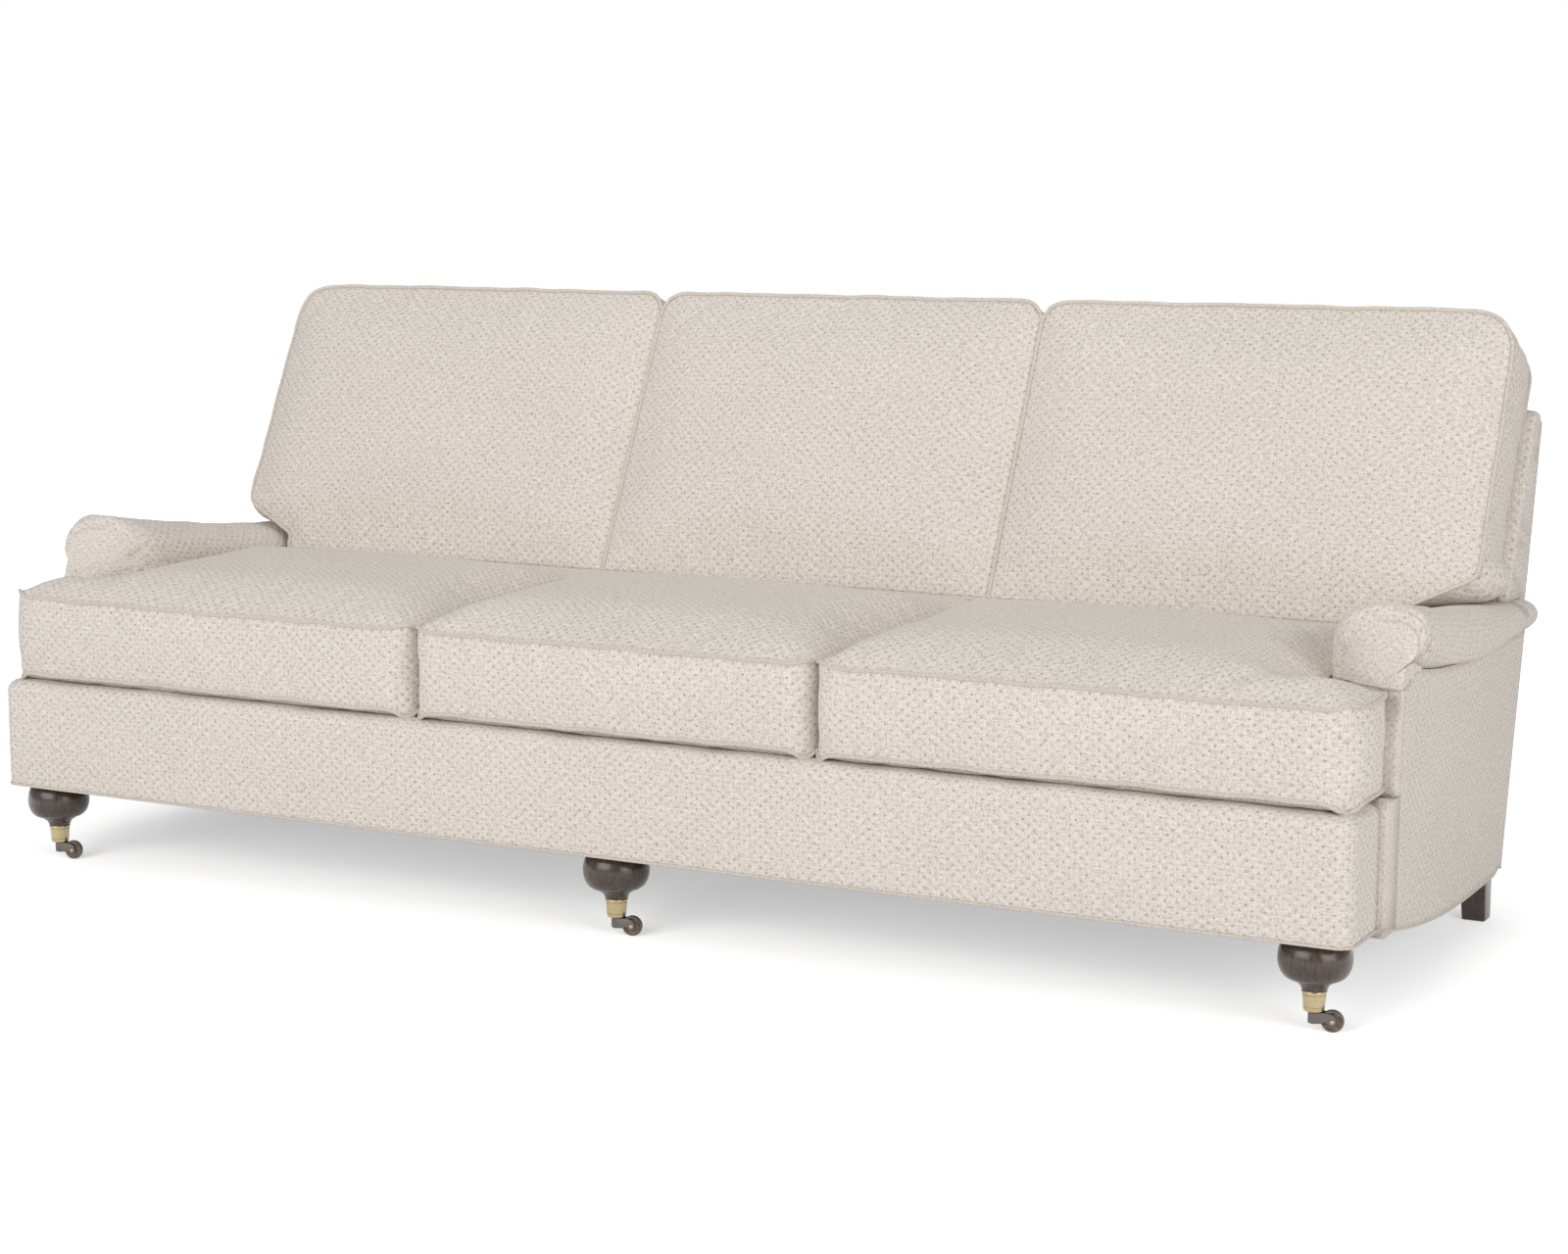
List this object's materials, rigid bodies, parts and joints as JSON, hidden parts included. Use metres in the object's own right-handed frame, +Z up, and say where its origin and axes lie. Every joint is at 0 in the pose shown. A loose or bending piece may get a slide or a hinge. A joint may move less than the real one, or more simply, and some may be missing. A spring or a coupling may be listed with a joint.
{
  "type": "roll arm sofa",
  "caption": "Long upholstered sofa with low sloping roll arms, loose T-shaped seat cushions, loose back cushions and turned legs on brass castors.",
  "frame": {"origin": "middle of the sofa's bounding box on the floor", "axes": "+X along the seat to the right hand end as seen from the front, +Y towards the back, +Z up"},
  "size_m": [2.5296, 1.006, 0.9823],
  "materials": {
    "woven_fabric": "chunky basket weave, ivory",
    "frame_timber": "planed hardwood, bare",
    "espresso_wood": "dark espresso, satin",
    "antique_brass": "antique, satin",
    "dark_bronze": "dark bronze, satin",
    "webbing": "woven strap",
    "dust_cloth": "thin black cambric"
  },
  "bodies": {
    "frame": {"front_rail": "frame_timber", "back_rail": "frame_timber", "rear_bottom_rail": "frame_timber", "top_back_rail": "frame_timber", "middle_seat_webbing": "webbing", "deck_pad": "woven_fabric", "dust_cover": "dust_cloth", "front_border": "woven_fabric", "inside_back_pad": "woven_fabric", "outside_back_panel": "woven_fabric", "left_side_rail": "frame_timber", "left_seat_stretcher": "frame_timber", "left_back_post": "frame_timber", "left_back_upright": "frame_timber", "left_arm_post": "frame_timber", "left_arm_board": "frame_timber", "left_seat_webbing": "webbing", "left_arm_pad": "woven_fabric", "left_arm_roll_end": "woven_fabric", "left_arm_cap": "woven_fabric", "left_arm_facing": "woven_fabric", "left_outside_arm_panel": "woven_fabric", "left_rear_leg": "espresso_wood", "right_side_rail": "frame_timber", "right_seat_stretcher": "frame_timber", "right_back_post": "frame_timber", "right_back_upright": "frame_timber", "right_arm_post": "frame_timber", "right_arm_board": "frame_timber", "right_seat_webbing": "webbing", "right_arm_pad": "woven_fabric", "right_arm_roll_end": "woven_fabric", "right_arm_cap": "woven_fabric", "right_arm_facing": "woven_fabric", "right_outside_arm_panel": "woven_fabric", "right_rear_leg": "espresso_wood", "left_leg_block": "frame_timber", "left_front_leg": "espresso_wood", "left_brass_cup": "antique_brass", "centre_leg_block": "frame_timber", "centre_front_leg": "espresso_wood", "centre_brass_cup": "antique_brass", "right_leg_block": "frame_timber", "right_front_leg": "espresso_wood", "right_brass_cup": "antique_brass"},
    "left_castor": {"left_castor_horn": "antique_brass", "left_castor_axle": "antique_brass"},
    "left_wheel": {"left_castor_wheel": "dark_bronze"},
    "centre_castor": {"centre_castor_horn": "antique_brass", "centre_castor_axle": "antique_brass"},
    "centre_wheel": {"centre_castor_wheel": "dark_bronze"},
    "right_castor": {"right_castor_horn": "antique_brass", "right_castor_axle": "antique_brass"},
    "right_wheel": {"right_castor_wheel": "dark_bronze"},
    "left_seat": {"left_seat_cushion": "woven_fabric"},
    "left_back": {"left_back_cushion": "woven_fabric"},
    "middle_seat": {"middle_seat_cushion": "woven_fabric"},
    "middle_back": {"middle_back_cushion": "woven_fabric"},
    "right_seat": {"right_seat_cushion": "woven_fabric"},
    "right_back": {"right_back_cushion": "woven_fabric"}
  },
  "joints": [
    {"name": "left_castor_swivel", "type": "hinge", "parent": "frame", "child": "left_castor", "pos_m": [-1.15, -0.44299, 0.03], "axis": [0, 0, 1], "continuous": true},
    {"name": "left_wheel_spin", "type": "hinge", "parent": "left_castor", "child": "left_wheel", "pos_m": [-1.12399, -0.43793, 0.0164], "axis": [-0.1908, 0.9816, 0], "continuous": true},
    {"name": "centre_castor_swivel", "type": "hinge", "parent": "frame", "child": "centre_castor", "pos_m": [0, -0.44299, 0.03], "axis": [0, 0, 1], "continuous": true},
    {"name": "centre_wheel_spin", "type": "hinge", "parent": "centre_castor", "child": "centre_wheel", "pos_m": [0.02601, -0.43793, 0.0164], "axis": [-0.1908, 0.9816, 0], "continuous": true},
    {"name": "right_castor_swivel", "type": "hinge", "parent": "frame", "child": "right_castor", "pos_m": [1.15, -0.44299, 0.03], "axis": [0, 0, 1], "continuous": true},
    {"name": "right_wheel_spin", "type": "hinge", "parent": "right_castor", "child": "right_wheel", "pos_m": [1.17601, -0.43793, 0.0164], "axis": [-0.1908, 0.9816, 0], "continuous": true},
    {"name": "left_seat_draw_out", "type": "slide", "parent": "frame", "child": "left_seat", "axis": [0, -1, 0], "range_m": [0, 0.78]},
    {"name": "left_back_lift_out", "type": "slide", "parent": "frame", "child": "left_back", "axis": [0, 0, 1], "range_m": [0, 0.53]},
    {"name": "middle_seat_draw_out", "type": "slide", "parent": "frame", "child": "middle_seat", "axis": [0, -1, 0], "range_m": [0, 0.78]},
    {"name": "middle_back_lift_out", "type": "slide", "parent": "frame", "child": "middle_back", "axis": [0, 0, 1], "range_m": [0, 0.53]},
    {"name": "right_seat_draw_out", "type": "slide", "parent": "frame", "child": "right_seat", "axis": [0, -1, 0], "range_m": [0, 0.78]},
    {"name": "right_back_lift_out", "type": "slide", "parent": "frame", "child": "right_back", "axis": [0, 0, 1], "range_m": [0, 0.53]}
  ]
}
